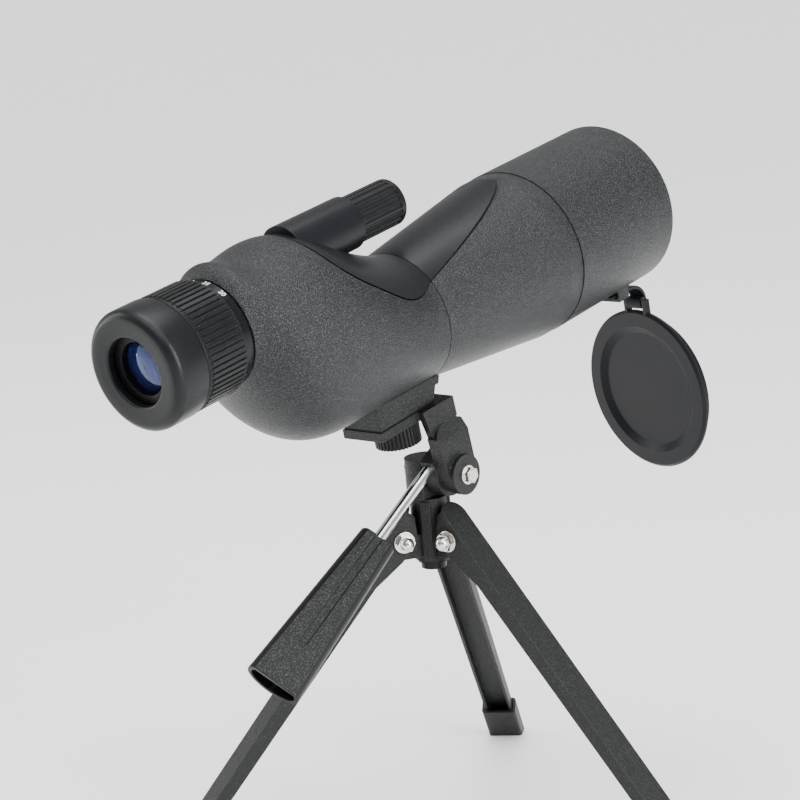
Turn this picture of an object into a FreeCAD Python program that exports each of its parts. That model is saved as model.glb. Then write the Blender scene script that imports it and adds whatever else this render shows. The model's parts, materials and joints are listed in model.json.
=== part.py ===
import FreeCAD, Part
import math
import os
from FreeCAD import Vector

# A straight spotting scope with a zoom eyepiece, on a folding table tripod with a pan and tilt
# head. Sizes are in mm. Z is up, the scope looks along +Y and +X is its right side.
# The origin is on the floor, on the axis of the pan joint.
# A station is a distance behind the front edge of the sunshade, along the barrel.

# Overall sizes
leg_length = 190.0          # leg bolt to sole, along the leg
leg_splay = 41.0            # degrees between a leg and the vertical
scope_pitch = 9.2           # degrees that the scope looks up
front_reach = 143.2         # tilt axis to the front edge of the sunshade
barrel_height = 66.5        # tilt axis to the barrel axis
tilt_over_bolts = 26.0      # tilt axis above the leg bolts
tilt_ahead = 3.0            # tilt axis in front of the pan axis
eyepiece_rise = 30.0        # eyepiece axis above the barrel axis

# Clearances
slide_gap = 0.08            # running fit of a shaft or a sliding tube
part_gap = 0.3              # gap between pieces that move past each other
groove = 0.5                # open line around the smooth panels

# Barrel and sunshade
shade_radius = 36.0
shade_wall = 1.9
shade_length = 67.0
armour = 1.5                # thickness of the rubber skin
barrel_radius = 35.7
taper_start = 76.0
waist_station = 145.0
waist_radius = 27.0
front_tube_wall = 2.0
front_tube_start = 9.0
objective_radius = 30.0
objective_station = 18.0
crown_thickness = 9.0
crown_curve = 140.0

# Prism housing: station, top, bottom and half width of each rounded section
housing_sections = [
    (145.0, 27.0, -27.0, 27.0),
    (152.0, 28.5, -27.0, 27.5),
    (165.0, 34.0, -26.5, 30.0),
    (182.0, 43.5, -26.0, 33.5),
    (200.0, 53.5, -26.5, 35.0),
    (216.0, 55.0, -23.0, 34.0),
    (230.0, 53.5, -11.0, 29.5),
    (242.0, 51.0, 9.0, 21.0),
]
housing_wall = 2.0
# Lower edge of the smooth panel in side view, as station and height above the barrel axis
panel_edge = [
    (203.0, 57.0), (198.0, 43.0), (175.0, 23.0), (163.0, 16.0), (154.0, 14.5), (145.5, 16.5),
]
panel_apex = 72.5

# Focus drive
knob_rise = 45.6            # knob axis above the barrel axis
knob_radius = 9.6
knob_start = 136.5
boss_radius = 10.8
boss_start = 163.5
boss_end = 199.0
boss_bore = 6.0
knob_flutes = 22
focus_shaft_radius = 2.5
carriage_station = 177.0

# Prisms
prism_step = eyepiece_rise / math.sqrt(2.0)
prism_width = 17.0
prism_plate_station = 203.0
prism_plate = 2.0

# Eyepiece
collar_start = 242.3
collar_radius = 20.7
ring_start = 247.4
ring_radius = 22.6
ring_ribs = 60
rib_depth = 0.7
eyecup_start = 266.3
eyecup_end = 283.0
eyecup_radius = 22.9
eyecup_round = 5.5
eyecup_opening = 13.0
eye_tube_radius = 17.5
eye_tube_wall = 2.5
eye_tube_start = 234.0
eye_tube_end = 272.0
eye_lens_radius = 11.0
eye_lens_depth = 4.6
field_stop_station = 261.0
field_stop_radius = 9.0
zoom_cell_length = 4.0
zoom_lenses = {"front": (240.0, 9.0, 40.0), "rear": (253.0, 10.0, 45.0)}    # station, radius, curve

# Scope foot, platform and camera screw, measured from the tilt axis
foot_front = 3.5
foot_rear = -36.0
foot_width = 24.0
foot_step = 38.2
foot_base = 32.0
foot_lip = 1.6
foot_insert_radius = 5.0
foot_seat = 0.1             # glue line between the barrel and the foot
foot_overrun = 4.0          # how far the barrel's seat runs on under the housing
pad_thickness = 1.0
plate_thickness = 3.8
plate_half_width = 10.3
plate_front = 7.0
plate_rear = -34.5
screw_back = 15.2           # camera screw behind the tilt axis
screw_radius = 3.175
screw_reach = 6.4
wheel_radius = 9.5
wheel_height = 8.2
wheel_knurls = 36

# Tilt joint
tilt_disc_radius = 8.3
tilt_barrel_radius = 7.6
tilt_disc_face = 19.0
tilt_disc_thickness = 4.0
tilt_bolt_radius = 2.5
collar_ring_radius = 9.5
collar_ring_width = 6.6
cheek_thickness = 3.0

# Handle
handle_drop = 21.8          # degrees below the scope's axis
handle_side = 8.0           # to the right of the pan axis
handle_offset = 8.4         # above the tilt axis, square to the rod
rod_radius = 2.4
rod_tail = -1.5             # end of the rod past the collar's middle
rod_bare = 46.5
grip_length = 75.5
grip_near = (15.5, 12.0)
grip_far = (23.0, 15.0)
grip_turn = -45.0
grip_flat = 4.3             # textured flat above the rod's axis
grip_hollow = 42.0          # near end of the grip to the start of its hollow
grip_wall = 1.8
grip_slot = 3.2
grip_slot_depth = 0.9
grip_slot_end = 20.0        # end of the slot to the far end of the grip
rod_socket = 34.0           # how far the rod goes into the grip

# Post, hub and legs
post_radius = 8.6
post_top = 6.4              # above the tilt axis
post_flat = 4.0             # flat on the right side, for the tilt barrel
post_foot = 10.0            # below the tilt axis
hub_radius = 7.4
hub_base = 36.0             # below the tilt axis
bolt_circle = 14.0
hub_lug_width = 9.4
hub_lug_radius = 4.4
leg_width = 12.6
leg_sheet = 1.3
leg_face = 6.2              # outer face of the leg above its bolt
leg_top = 13.5
leg_bolt_radius = 2.0
leg_end_gap = 10.0          # end of the pressed leg above its sole, along the leg
flange_depth = 4.8
ear_reach = 4.6
tip_length = 24.0
tip_wall = 1.7
nut_size = 6.6

# Cap and strap
cap_radius = 37.4
cap_rim = 2.4               # thickness of the cap's outer rim
cap_plug = 4.0              # how far the cap's plug goes into the sunshade
cap_plug_wall = 2.0
cap_face = 2.2
cap_recess_radius = 30.0
cap_recess_floor = 26.5
cap_recess = 2.0
cap_centre = (2.0, 22.0, -88.0)     # from the middle of the sunshade's front edge, level axes
cap_yaw = -11.9
cap_pitch = 6.0
strap_width = 8.0
strap_thickness = 1.6
lug_width = 11.0
lug_drop = 6.5
eye_radius = 3.0            # eye at the strap's end
pin_radius = 0.9            # moulded pin of the cap, loose in that eye
pin_reach = 3.6             # pin above the cap's rim
prong_gap = 1.1
prong_width = 1.8

bolt_height = leg_length * math.cos(math.radians(leg_splay))
tilt_height = bolt_height + tilt_over_bolts
leg_azimuths = {"right": 0.0, "back": 120.0, "left": 240.0}

parts = {}


# Building blocks

def along(station):
    return front_reach - station


def turned(profile, height):
    """Solid of revolution about an axis along the barrel; profile holds stations and radii."""
    points = [Vector(0, along(station), height + radius) for station, radius in profile]
    face = Part.Face(Part.makePolygon(points + [points[0]]))
    return face.revolve(Vector(0, 0, height), Vector(0, 1, 0), 360)


def sleeve(start, end, outer, inner, height):
    return turned([(start, inner), (start, outer), (end, outer), (end, inner)], height)


def rod_between(start, end, radius, height):
    return Part.makeCylinder(radius, end - start, Vector(0, along(end), height), Vector(0, 1, 0))


def box(low, high):
    size = [high[i] - low[i] for i in range(3)]
    return Part.makeBox(size[0], size[1], size[2], Vector(*low))


def plate_of(points, thickness, axis):
    """Flat plate from an outline given as 3D points, pushed along an axis."""
    corners = [Vector(*point) for point in points]
    face = Part.Face(Part.makePolygon(corners + [corners[0]]))
    return face.extrude(axis * thickness)


def toothed_prism(radius, depth, count, height):
    """Ribbed cylinder along +Z from the origin."""
    points = []
    for tooth in range(count):
        for share, level in ((0.0, 0.0), (0.5, 0.0), (0.62, depth), (0.88, depth)):
            angle = 2 * math.pi * (tooth + share) / count
            reach = radius - level
            points.append(Vector(reach * math.cos(angle), reach * math.sin(angle), 0))
    face = Part.Face(Part.makePolygon(points + [points[0]]))
    return face.extrude(Vector(0, 0, height))


def lay_along_barrel(shape, start, height):
    """Turns a shape made along +Z from the origin so that it runs back from a station."""
    turned_shape = shape.copy()
    turned_shape.rotate(Vector(0, 0, 0), Vector(1, 0, 0), 90)
    turned_shape.translate(Vector(0, along(start), height))
    return turned_shape


def on_tilt(shape):
    """Moves a shape from the tilt axis frame to its place on the head."""
    placed = shape.copy()
    placed.rotate(Vector(0, 0, 0), Vector(1, 0, 0), scope_pitch)
    placed.translate(Vector(0, tilt_ahead, tilt_height))
    return placed


# Prism housing

def housing_section(station, top, bottom, half_width, inset):
    middle = (top + bottom) / 2
    half_height = (top - bottom) / 2 - inset
    reach = half_width - inset
    points = []
    for step in range(20):
        angle = 2 * math.pi * step / 20
        level = barrel_height + middle + half_height * math.sin(angle)
        points.append(Vector(reach * math.cos(angle), along(station), level))
    curve = Part.BSplineCurve()
    curve.interpolate(points, PeriodicFlag=True)
    return Part.Wire(curve.toShape())


def housing_solid(inset):
    wires = [housing_section(*section, inset) for section in housing_sections]
    return Part.makeLoft(wires, True, False)


def panel_region(shift):
    """Space above the edge of the smooth panels, right across the scope."""
    points = [Vector(-60, along(s) - shift, barrel_height + h - shift) for s, h in panel_edge]
    curve = Part.BSplineCurve()
    curve.interpolate(points)
    apex = Vector(-60, along(panel_apex) + shift, barrel_height + barrel_radius + 0.6 - shift)
    roof = barrel_height + 90
    front_top = Vector(-60, along(panel_apex) + shift, roof)
    back_top = Vector(-60, points[0].y, roof)
    edges = [
        curve.toShape(),
        Part.makeLine(points[-1], apex),
        Part.makeLine(apex, front_top),
        Part.makeLine(front_top, back_top),
        Part.makeLine(back_top, points[0]),
    ]
    return Part.Face(Part.Wire(edges)).extrude(Vector(120, 0, 0))


def make_housing():
    outer = housing_solid(0)
    middle = housing_solid(armour)
    inner = housing_solid(armour + housing_wall)
    knob_axis = barrel_height + knob_rise
    bore = rod_between(boss_start - 1, boss_end + 3, boss_bore, knob_axis)
    boss = rod_between(boss_start, boss_end, boss_radius, knob_axis)
    rear_bore = rod_between(collar_start - 20, collar_start + 5, eye_tube_radius + slide_gap,
                            barrel_height + eyepiece_rise)
    region = panel_region(0)
    wide_region = region.fuse(panel_region(groove))
    panel = outer.fuse(boss).cut(middle).cut(bore).common(region)
    skin = outer.cut(middle).cut(wide_region)
    parts["housing_panel"] = largest(panel.cut(rear_bore))
    parts["housing_armour"] = largest(skin.cut(rear_bore).cut(boss))
    parts["housing_core"] = largest(middle.cut(inner).cut(bore).cut(rear_bore))
    seat = sleeve(eye_tube_start + 1, eye_tube_start + 6, 30.0, eye_tube_radius,
                  barrel_height + eyepiece_rise)
    parts["eyepiece_seat"] = largest(seat.common(inner))
    return inner, region, wide_region


def largest(shape):
    return max(shape.Solids, key=lambda solid: solid.Volume)


def barrel_profile(inset, start, end):
    """Radius against station of the barrel, moved inward by an inset."""
    slope = (barrel_radius - waist_radius) / (waist_station - taper_start)
    end_radius = barrel_radius - slope * (end - taper_start)
    return [(start, barrel_radius - inset), (taper_start, barrel_radius - inset),
            (end, end_radius - inset)]


def hollow_barrel(outer_inset, inner_inset, start, end):
    outer = barrel_profile(outer_inset, start, end)
    inner = barrel_profile(inner_inset, start, end)
    return turned(outer + inner[::-1], barrel_height)


def make_barrel(region, wide_region):
    rear = waist_station - 0.3
    start = shade_length + 0.4
    skin = hollow_barrel(0, armour, start, rear)
    parts["barrel_panel"] = largest(skin.common(region))
    parts["barrel_armour"] = largest(skin.cut(wide_region))
    tube_outer = shade_radius - shade_wall - slide_gap
    tube_inner = tube_outer - front_tube_wall
    profile = [(front_tube_start, tube_inner), (front_tube_start, tube_outer),
               (taper_start, tube_outer)]
    slope = (barrel_radius - waist_radius) / (waist_station - taper_start)
    rear_outer = barrel_radius - armour - slope * (rear - taper_start)
    profile += [(rear, rear_outer), (rear, rear_outer - front_tube_wall), (taper_start, tube_inner)]
    parts["barrel_tube"] = turned(profile, barrel_height)
    parts["objective_stop"] = sleeve(96.0, 97.5, 29.0, 23.0, barrel_height)


def make_objective():
    tube_bore = shade_radius - shade_wall - slide_gap - front_tube_wall
    start = objective_station
    cell = [(start, objective_radius + 0.1), (start, tube_bore), (start + 13, tube_bore),
            (start + 13, objective_radius - 2), (start + 11.5, objective_radius - 2),
            (start + 11.5, objective_radius + 0.1)]
    parts["objective_cell"] = turned(cell, barrel_height)
    parts["objective_retainer"] = sleeve(start - 2, start, tube_bore, objective_radius - 1.5,
                                         barrel_height)
    crown_end = start + crown_thickness
    parts["crown_lens"] = lens(start, crown_end, objective_radius, crown_curve, crown_curve,
                               barrel_height)
    flint_start = crown_end - sag(crown_curve, objective_radius) + 0.1
    parts["flint_lens"] = lens(flint_start, start + 11.4, objective_radius, -crown_curve, 900.0,
                               barrel_height)


def sag(curve, radius):
    return abs(curve) - math.sqrt(curve * curve - radius * radius)


def lens(start, end, radius, front_curve, rear_curve, height):
    """Round lens between two stations; a positive curve bulges outward, a negative one is hollow."""
    front_sag = sag(front_curve, radius)
    rear_sag = sag(rear_curve, radius)
    front_apex, front_rim = (start, start + front_sag) if front_curve > 0 else (start + front_sag, start)
    rear_apex, rear_rim = (end, end - rear_sag) if rear_curve > 0 else (end - rear_sag, end)

    def point(station, level):
        return Vector(0, along(station), height + level)

    def face_arc(apex, rim, curve):
        half = radius / 2
        middle = apex + (rim - apex) / abs(rim - apex) * sag(curve, half)
        return Part.Arc(point(apex, 0), point(middle, half), point(rim, radius)).toShape()

    outline = Part.Wire([
        face_arc(front_apex, front_rim, front_curve),
        Part.makeLine(point(front_rim, radius), point(rear_rim, radius)),
        face_arc(rear_apex, rear_rim, rear_curve),
        Part.makeLine(point(rear_apex, 0), point(front_apex, 0)),
    ])
    return Part.Face(outline).revolve(Vector(0, 0, height), Vector(0, 1, 0), 360)


def make_sunshade():
    shade = sleeve(0, shade_length, shade_radius, shade_radius - shade_wall, barrel_height)
    lip = [(0, shade_radius - shade_wall), (0, shade_radius - 0.5), (0.5, shade_radius),
           (0.5, shade_radius + 1), (-1, shade_radius + 1), (-1, shade_radius - shade_wall)]
    parts["sunshade"] = shade.cut(turned(lip, barrel_height))
    low = barrel_height - shade_radius - lug_drop
    lug = box((-lug_width / 2, along(9.0), low), (lug_width / 2, along(1.5), low + lug_drop + 1.5))
    slot = box((-strap_width / 2 - part_gap, along(10.0), low + 1.5),
               (strap_width / 2 + part_gap, along(0.5), low + 2.1 + strap_thickness + 2 * part_gap))
    lug = lug.cut(slot)
    lug.translate(Vector(strap_side(), 0, 0))
    parts["strap_lug"] = largest(lug.cut(rod_between(-1, 12, shade_radius, barrel_height)))


# Focus drive

def make_focus():
    axis = barrel_height + knob_rise
    knob = rod_between(knob_start, boss_start - 0.4, knob_radius, axis)
    knob = knob.makeChamfer(0.8, [e for e in knob.Edges if e.Curve.TypeId == "Part::GeomCircle"])
    for flute in range(knob_flutes):
        angle = 2 * math.pi * flute / knob_flutes
        reach = knob_radius + 0.35
        place = Vector(reach * math.cos(angle), along(boss_start), axis + reach * math.sin(angle))
        knob = knob.cut(Part.makeCylinder(0.95, boss_start - knob_start - 3, place, Vector(0, 1, 0)))
    knob = knob.cut(rod_between(knob_start + 4, boss_start, focus_shaft_radius, axis))
    parts["focus_knob"] = largest(knob)
    parts["focus_shaft"] = rod_between(knob_start + 4, 197.0, focus_shaft_radius, axis)
    parts["focus_bush"] = sleeve(boss_start + 0.6, boss_start + 15, boss_bore,
                                 focus_shaft_radius + slide_gap, axis)
    nut = sleeve(185.0, 191.0, 5.0, focus_shaft_radius + slide_gap, axis)
    strip = box((-3, along(191.0), barrel_height + 32), (3, along(carriage_station), barrel_height + 34))
    riser = box((-2, along(191.0), barrel_height + 32), (2, along(186.0), axis - 3.6))
    plate = box((-3, along(carriage_station + 2), barrel_height + 14),
                (3, along(carriage_station), barrel_height + 34))
    cell = sleeve(carriage_station - 4, carriage_station + 2, 15.0, 13.0, barrel_height)
    parts["focus_carriage"] = nut.fuse([strip, riser, plate, cell]).removeSplitter()
    parts["focus_lens"] = lens(carriage_station - 3, carriage_station + 1, 13.0, 60.0, 60.0,
                               barrel_height)


# Prisms

def make_prisms(inner):
    first = prism_shape()
    first.rotate(Vector(0, 0, 0), Vector(0, 1, 0), 45)
    half = prism_step / 2 / math.sqrt(2)
    first.translate(Vector(-half, along(prism_plate_station + prism_plate), barrel_height + half))
    parts["prism_first"] = first
    second = prism_shape()
    second.rotate(Vector(0, 0, 0), Vector(0, 0, 1), 180)
    second.rotate(Vector(0, 0, 0), Vector(0, 1, 0), -45)
    second.translate(Vector(-half, along(prism_plate_station), barrel_height + 3 * half))
    parts["prism_second"] = second
    slab = box((-50, along(prism_plate_station + prism_plate), 0), (50, along(prism_plate_station), 200))
    plate = slab.common(inner)
    holes = [(0, 0), (0, eyepiece_rise), (-2 * half, 2 * half)]
    for x, z in holes:
        hole = Part.makeCylinder(7.0, 10, Vector(x, along(prism_plate_station + 5), barrel_height + z),
                                 Vector(0, 1, 0))
        plate = plate.cut(hole)
    parts["prism_plate"] = largest(plate)


def prism_shape():
    """Right-angled prism: long face on the XZ plane, apex towards -Y, long side along X."""
    half = prism_step
    outline = [(-half, 0, -prism_width / 2), (half, 0, -prism_width / 2), (0, -half, -prism_width / 2)]
    return plate_of(outline, prism_width, Vector(0, 0, 1))


# Eyepiece

def make_eyepiece():
    axis = barrel_height + eyepiece_rise
    bore_radius = eye_tube_radius - eye_tube_wall
    parts["eye_tube"] = sleeve(eye_tube_start, eye_tube_end, eye_tube_radius, bore_radius, axis)
    collar = turned([(collar_start, eye_tube_radius + slide_gap), (collar_start, collar_radius - 0.4),
                     (collar_start + 0.4, collar_radius), (ring_start, collar_radius),
                     (ring_start, eye_tube_radius + slide_gap)], axis)
    parts["scale_collar"] = collar
    length = eyecup_start - part_gap - ring_start
    ring = lay_along_barrel(toothed_prism(ring_radius, rib_depth, ring_ribs, length), ring_start, axis)
    bore = rod_between(ring_start - 1, eyecup_start + 1, eye_tube_radius + slide_gap, axis)
    land = sleeve(ring_start, ring_start + 0.9, ring_radius + 1, ring_radius - 0.35, axis)
    tail = sleeve(ring_start + length - 0.9, ring_start + length, ring_radius + 1, ring_radius - 0.35, axis)
    parts["zoom_ring"] = largest(ring.cut(bore).cut(land).cut(tail))
    parts["eyecup"] = eyecup(axis)
    lens_start = eye_tube_end + 0.4
    lens_end = lens_start + eye_lens_depth
    parts["eye_lens"] = lens(lens_start, lens_end, eye_lens_radius, 60.0, 26.0, axis)
    rim = eye_tube_radius - 0.1
    lip = eye_lens_radius - 0.8
    parts["eye_lens_ring"] = turned([(lens_start - 0.2, eye_lens_radius), (lens_start - 0.2, rim),
                                     (lens_end + 1.0, rim), (lens_end + 1.0, lip),
                                     (lens_end + 0.1, lip), (lens_end + 0.1, eye_lens_radius)], axis)
    parts["field_stop"] = sleeve(field_stop_station, field_stop_station + 1.5, bore_radius,
                                 field_stop_radius, axis)
    for name, (station, radius, curve) in zoom_lenses.items():
        cell_end = station + zoom_cell_length
        parts["zoom_cell_" + name] = sleeve(station, cell_end, bore_radius - slide_gap, radius, axis)
        parts["zoom_lens_" + name] = lens(station + 0.4, cell_end - 0.4, radius, curve, curve, axis)


def eyecup(axis):
    steps = 8
    inner_step = eye_tube_end + eye_lens_depth + 1.8
    profile = [(eyecup_start, eye_tube_radius), (eyecup_start, eyecup_radius - 0.3),
               (eyecup_start + 0.5, eyecup_radius)]
    for step in range(steps + 1):
        angle = math.pi / 2 * step / steps
        station = eyecup_end - eyecup_round + eyecup_round * math.sin(angle)
        profile.append((station, eyecup_radius - eyecup_round + eyecup_round * math.cos(angle)))
    profile += [(eyecup_end - 0.6, eyecup_opening + 1.2), (eyecup_end - 1.6, eyecup_opening),
                (inner_step, eyecup_opening), (inner_step, eye_tube_radius)]
    return turned(profile, axis)


# Foot, platform and camera screw

def make_foot():
    half = foot_width / 2
    upper = box((-half, foot_rear, foot_step), (half, foot_front, barrel_height))
    lower = box((-half + foot_lip, foot_rear + 1.5, foot_base), (half - foot_lip, foot_front, foot_step))
    nose = plate_of([(-half, foot_front, foot_base - 1), (-half, foot_front, foot_step + 4),
                     (-half, foot_front - 5, foot_base - 1)], foot_width, Vector(1, 0, 0))
    foot = upper.fuse(lower).cut(housing_solid(0)).cut(nose)
    foot = foot.cut(hollow_barrel(-foot_seat, 20, shade_length, waist_station + foot_overrun))
    insert_top = foot_base + screw_reach + 1
    hole = Part.makeCylinder(foot_insert_radius, insert_top - foot_base,
                             Vector(0, -screw_back, foot_base))
    parts["scope_foot"] = largest(foot.cut(hole))
    insert = Part.makeCylinder(foot_insert_radius, insert_top - foot_base, Vector(0, -screw_back, foot_base))
    bore = Part.makeCylinder(screw_radius + slide_gap, screw_reach, Vector(0, -screw_back, foot_base))
    parts["foot_insert"] = insert.cut(bore)


def make_platform():
    pad_base = foot_base - pad_thickness
    plate_base = pad_base - plate_thickness
    hole = Part.makeCylinder(screw_radius + 0.5, 20, Vector(0, -screw_back, plate_base - 5))
    pad = box((-plate_half_width + 0.6, plate_rear + 0.6, pad_base),
              (plate_half_width - 0.6, foot_front - 4.5, foot_base))
    parts["platform_pad"] = pad.cut(hole)
    plate = box((-plate_half_width, plate_rear, plate_base), (plate_half_width, plate_front, pad_base))
    plate = plate.cut(hole)
    barrel_end = post_flat + part_gap
    cheek_low = [(-12.2, pad_base), (plate_front, pad_base), (plate_front + 0.4, 22.6), (-8.6, 17.0)]
    cheek = plate_of([(plate_half_width, y, z) for y, z in cheek_low], cheek_thickness, Vector(1, 0, 0))
    web = box((-plate_half_width, 2.5, plate_base - 6.5), (plate_half_width, plate_front, plate_base))
    arm_outline = [(-10.2, 18.6), (-tilt_disc_radius, 0), (tilt_disc_radius + 0.8, 0),
                   (plate_front + 1.2, 21.5), (2.0, 24.0), (-6.0, 22.0)]
    arm_inner = plate_half_width + 0.6
    arm = plate_of([(arm_inner, y, z) for y, z in arm_outline],
                   tilt_disc_face - 2.2 - arm_inner, Vector(1, 0, 0))
    slope = plate_of([(arm_inner - 1, -20, 30), (tilt_disc_face + 3, -20, 7), (tilt_disc_face + 3, -20, 40),
                      (arm_inner - 1, -20, 40)], 50, Vector(0, 1, 0))
    arm = arm.cut(slope)
    disc = Part.makeCylinder(tilt_disc_radius, tilt_disc_thickness,
                             Vector(tilt_disc_face - tilt_disc_thickness, 0, 0), Vector(1, 0, 0))
    barrel = Part.makeCylinder(tilt_barrel_radius, tilt_disc_face - barrel_end,
                               Vector(barrel_end, 0, 0), Vector(1, 0, 0))
    ring_start_x = handle_side - collar_ring_width / 2
    ring = Part.makeCylinder(collar_ring_radius, collar_ring_width, Vector(ring_start_x, 0, 0),
                             Vector(1, 0, 0))
    ear = box((ring_start_x, -7.0, handle_offset - 4), (ring_start_x + collar_ring_width, 3.5,
                                                        handle_offset + 3.4))
    ear.rotate(Vector(0, 0, 0), Vector(1, 0, 0), handle_drop)
    bracket = plate.fuse([cheek, web, arm, disc, barrel, ring, ear])
    bolt_hole = Part.makeCylinder(tilt_bolt_radius + slide_gap, 60, Vector(-20, 0, 0), Vector(1, 0, 0))
    rod_hole = handle_cylinder(-2.0, 30.0, rod_radius + slide_gap)
    parts["tilt_bracket"] = largest(bracket.cut(bolt_hole).cut(rod_hole).removeSplitter())


def make_camera_screw():
    wheel_top = foot_base - pad_thickness - plate_thickness - 0.6
    wheel = toothed_prism(wheel_radius, 0.6, wheel_knurls, wheel_height)
    wheel.translate(Vector(0, -screw_back, wheel_top - wheel_height))
    dish = Part.makeCylinder(wheel_radius - 2.2, 1.2, Vector(0, -screw_back, wheel_top - wheel_height))
    core = Part.makeCylinder(screw_radius, wheel_height + 2, Vector(0, -screw_back, wheel_top - wheel_height))
    parts["screw_wheel"] = wheel.cut(dish).cut(core)
    top = foot_base + screw_reach - 0.8
    base = wheel_top - wheel_height
    screw = Part.makeCylinder(screw_radius, top - base, Vector(0, -screw_back, base))
    rim = [e for e in screw.Edges if e.Curve.TypeId == "Part::GeomCircle"]
    parts["camera_screw"] = screw.makeChamfer(0.5, rim)


def make_tilt_bolt():
    head_x = -math.sqrt(post_radius ** 2 - 3.0 ** 2) - 0.5
    bolt = Part.makeCylinder(tilt_bolt_radius, tilt_disc_face + 3.4 - head_x, Vector(head_x, 0, 0),
                             Vector(1, 0, 0))
    parts["tilt_bolt"] = bolt.fuse(Part.makeCylinder(4.2, 2.6, Vector(head_x - 2.6, 0, 0), Vector(1, 0, 0)))
    washer = Part.makeCylinder(3.9, 0.8, Vector(tilt_disc_face, 0, 0), Vector(1, 0, 0))
    bore = Part.makeCylinder(tilt_bolt_radius, 8, Vector(tilt_disc_face - 1, 0, 0), Vector(1, 0, 0))
    parts["tilt_washer"] = washer.cut(bore)
    nut = hexagon(3.4, 2.4)
    nut.rotate(Vector(0, 0, 0), Vector(0, 1, 0), 90)
    nut.translate(Vector(tilt_disc_face + 0.8, 0, 0))
    parts["tilt_nut"] = nut.cut(bore)


def hexagon(reach, height):
    points = [Vector(reach * math.cos(math.pi * k / 3), reach * math.sin(math.pi * k / 3), 0)
              for k in range(6)]
    return Part.Face(Part.makePolygon(points + [points[0]])).extrude(Vector(0, 0, height))


# Handle

def on_handle(shape):
    """Lays a shape made along +Z on the rod's axis, pointing back and down from the collar."""
    placed = shape.copy()
    placed.rotate(Vector(0, 0, 0), Vector(1, 0, 0), 90)
    placed.translate(Vector(handle_side, 0, handle_offset))
    placed.rotate(Vector(0, 0, 0), Vector(1, 0, 0), handle_drop)
    return placed


def handle_cylinder(start, end, radius):
    return on_handle(Part.makeCylinder(radius, end - start, Vector(0, 0, start)))


def grip_section(length, width, depth):
    ellipse = Part.Ellipse(Vector(0, 0, length), width / 2, depth / 2)
    return Part.Wire(ellipse.toShape())


def make_handle():
    parts["handle_rod"] = handle_cylinder(rod_tail, rod_bare + rod_socket, rod_radius)
    near = rod_bare
    far = rod_bare + grip_length
    near_width, near_depth = grip_near
    far_width, far_depth = grip_far
    body = Part.makeLoft([grip_section(near, near_width, near_depth),
                          grip_section(far, far_width, far_depth)], True, True)
    body = body.cut(box((-30, grip_flat, near - 1), (30, 30, far + 1)))
    mid = near + grip_hollow
    share = grip_hollow / grip_length
    mid_width = near_width + (far_width - near_width) * share - 2 * grip_wall
    mid_depth = near_depth + (far_depth - near_depth) * share - 2 * grip_wall
    hollow = Part.makeLoft([grip_section(mid, mid_width, mid_depth),
                            grip_section(far + 0.1, far_width - 2 * grip_wall,
                                         far_depth - 2 * grip_wall)], True, True)
    hollow = hollow.cut(box((-30, grip_flat - grip_wall, near - 1), (30, 30, far + 1)))
    slot_base = grip_flat - grip_slot_depth
    slot_end = far - grip_slot_end
    slot = box((-grip_slot / 2, slot_base, near - 1), (grip_slot / 2, 30, slot_end))
    slot = slot.fuse(Part.makeCylinder(grip_slot / 2, 20, Vector(0, slot_base, slot_end), Vector(0, 1, 0)))
    bore = Part.makeCylinder(rod_radius, rod_socket, Vector(0, 0, near))
    grip = body.cut(hollow).cut(slot).cut(bore)
    grip.rotate(Vector(0, 0, 0), Vector(0, 0, 1), grip_turn)
    parts["handle_grip"] = on_handle(largest(grip))


# Post and hub, level with the floor

def upright(radius, low, high):
    return Part.makeCylinder(radius, high - low, Vector(0, 0, tilt_height + low))


def make_post():
    post = upright(post_radius, -post_foot + part_gap, post_top)
    flat = box((post_flat, -20, tilt_height - post_foot - 1), (20, 20, tilt_height + 20))
    bolt_hole = Part.makeCylinder(tilt_bolt_radius, 60, Vector(-20, tilt_ahead, tilt_height), Vector(1, 0, 0))
    head_x = -math.sqrt(post_radius ** 2 - 3.0 ** 2) - 0.5
    seat = Part.makeCylinder(4.4, 8, Vector(head_x - 8, tilt_ahead, tilt_height), Vector(1, 0, 0))
    screw_hole = upright(3.0, -post_foot - 1, -post_foot + 7)
    parts["pan_post"] = largest(post.cut(flat).cut(bolt_hole).cut(seat).cut(screw_hole))
    stem = upright(3.0 - slide_gap, -hub_base - 1.2, -post_foot + 6.8)
    head = upright(5.2, -hub_base - 4.0, -hub_base - 1.2)
    parts["pan_screw"] = stem.fuse(head)
    washer = upright(6.4, -hub_base - 1.2, -hub_base)
    parts["pan_washer"] = washer.cut(upright(3.0, -hub_base - 2, -hub_base + 1))


def on_leg(shape, azimuth):
    """Places a leg piece: its own +Z runs down the leg from the bolt, and +X faces out and up."""
    placed = shape.copy()
    placed.rotate(Vector(0, 0, 0), Vector(0, 0, 1), 180)
    placed.rotate(Vector(0, 0, 0), Vector(0, 1, 0), 180 - leg_splay)
    placed.translate(Vector(bolt_circle, 0, bolt_height))
    placed.rotate(Vector(0, 0, 0), Vector(0, 0, 1), azimuth)
    return placed


def leg_outline(width, inset):
    """Side view of a leg pushed across its width; inset leaves the pressed sheet."""
    end = leg_length - leg_end_gap
    outline = [(leg_face - inset, -leg_top), (leg_face - inset, end), (leg_face - flange_depth, end),
               (-1.0, 22.0), (-ear_reach, 7.0), (-ear_reach, -4.0), (0.5, -9.0), (3.0, -leg_top)]
    points = [(x, -width / 2, z) for x, z in outline]
    return plate_of(points, width, Vector(0, 1, 0))


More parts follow.
